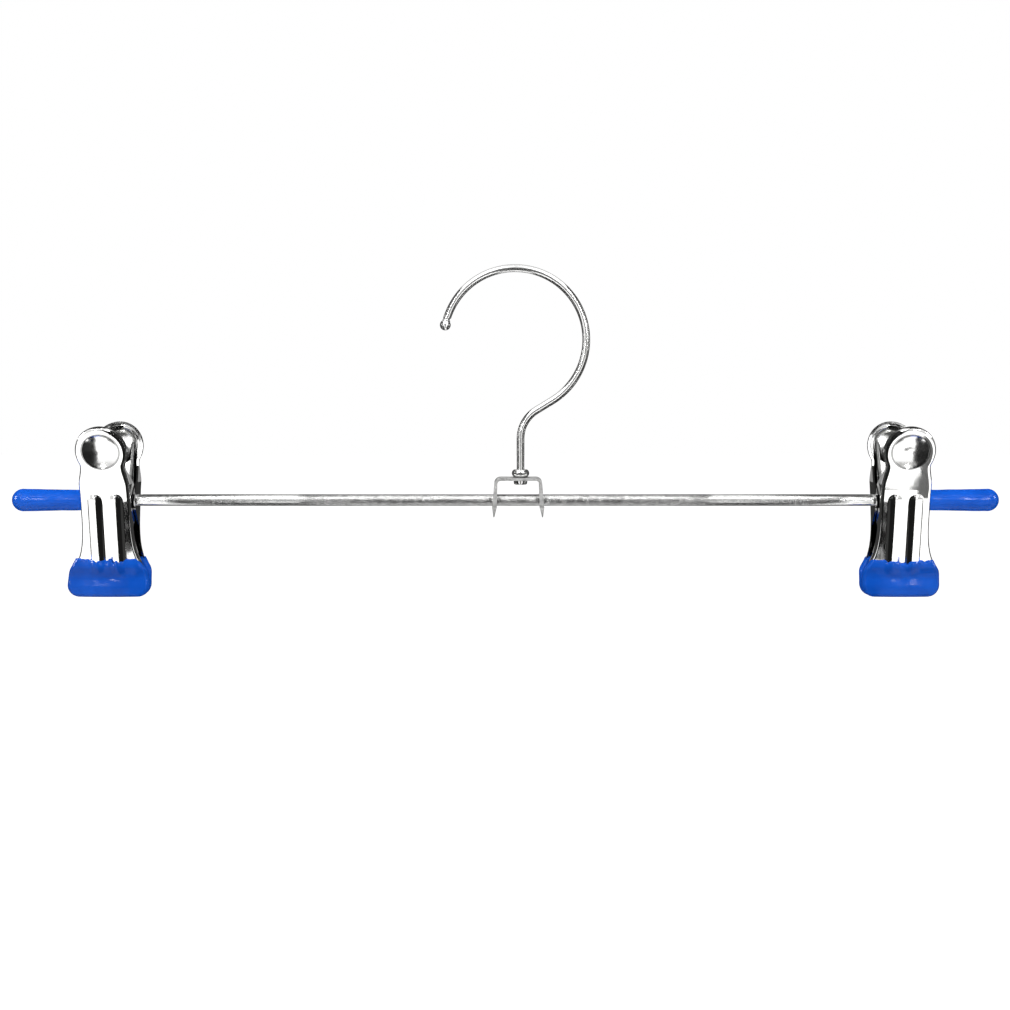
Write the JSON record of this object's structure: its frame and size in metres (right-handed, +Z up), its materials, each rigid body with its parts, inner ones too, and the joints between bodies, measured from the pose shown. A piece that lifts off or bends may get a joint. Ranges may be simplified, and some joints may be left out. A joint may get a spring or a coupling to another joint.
{
  "type": "skirt hanger",
  "caption": "Clothes hanger with a swivelling wire hook, a slim round bar and sprung metal clips with vinyl pads that slide along it.",
  "frame": {"origin": "rail saddle: the point inside the top of the hook that rests on the rail", "axes": "+X along the bar to the right, +Y away from the viewer along the rail, +Z up"},
  "size_m": [0.32, 0.0342, 0.1074],
  "materials": {
    "plated_wire": "bright zinc-plated drawn wire",
    "plated_bar": "zinc-plated drawn bar with a fine mottle",
    "bracket_steel": "zinc-plated bent strip",
    "jaw_steel": "bright nickel-plated pressed sheet",
    "spring_steel": "plated spring wire",
    "blue_vinyl": "glossy dipped soft vinyl"
  },
  "bodies": {
    "hook": {"hook_wire": "plated_wire", "hook_collar": "plated_wire"},
    "frame": {"hanger_bar": "plated_bar", "swivel_bracket": "bracket_steel", "left_end_sleeve": "blue_vinyl", "right_end_sleeve": "blue_vinyl"},
    "left_spring": {"left_spring": "spring_steel"},
    "left_front_jaw": {"left_front_jaw": "jaw_steel", "left_front_pad": "blue_vinyl"},
    "left_back_jaw": {"left_back_jaw": "jaw_steel", "left_back_pad": "blue_vinyl"},
    "right_spring": {"right_spring": "spring_steel"},
    "right_front_jaw": {"right_front_jaw": "jaw_steel", "right_front_pad": "blue_vinyl"},
    "right_back_jaw": {"right_back_jaw": "jaw_steel", "right_back_pad": "blue_vinyl"}
  },
  "joints": [
    {"name": "hook_swivel", "type": "hinge", "parent": "hook", "child": "frame", "pos_m": [0.0018, 0, -0.07349], "axis": [0, 0, 1], "continuous": true},
    {"name": "left_clip_slide", "type": "slide", "parent": "frame", "child": "left_spring", "axis": [1, 0, 0], "range_m": [0, 0.1142]},
    {"name": "left_clip_swing", "type": "hinge", "parent": "left_spring", "child": "left_front_jaw", "pos_m": [-0.1311, 0, -0.07349], "axis": [1, 0, 0], "range_deg": [-90, 90], "deforming": ["left_spring"]},
    {"name": "left_clip_open", "type": "hinge", "parent": "left_front_jaw", "child": "left_back_jaw", "pos_m": [-0.1311, 0, -0.07349], "axis": [1, 0, 0], "range_deg": [0, 40], "stiffness_Nm_per_rad": 0.3, "springref_deg": -34.38, "deforming": ["left_spring"]},
    {"name": "right_clip_slide", "type": "slide", "parent": "frame", "child": "right_spring", "axis": [-1, 0, 0], "range_m": [0, 0.1059]},
    {"name": "right_clip_swing", "type": "hinge", "parent": "right_spring", "child": "right_front_jaw", "pos_m": [0.1249, 0, -0.07349], "axis": [1, 0, 0], "range_deg": [-90, 90], "deforming": ["right_spring"]},
    {"name": "right_clip_open", "type": "hinge", "parent": "right_front_jaw", "child": "right_back_jaw", "pos_m": [0.1249, 0, -0.07349], "axis": [1, 0, 0], "range_deg": [0, 40], "stiffness_Nm_per_rad": 0.3, "springref_deg": -34.38, "deforming": ["right_spring"]}
  ]
}
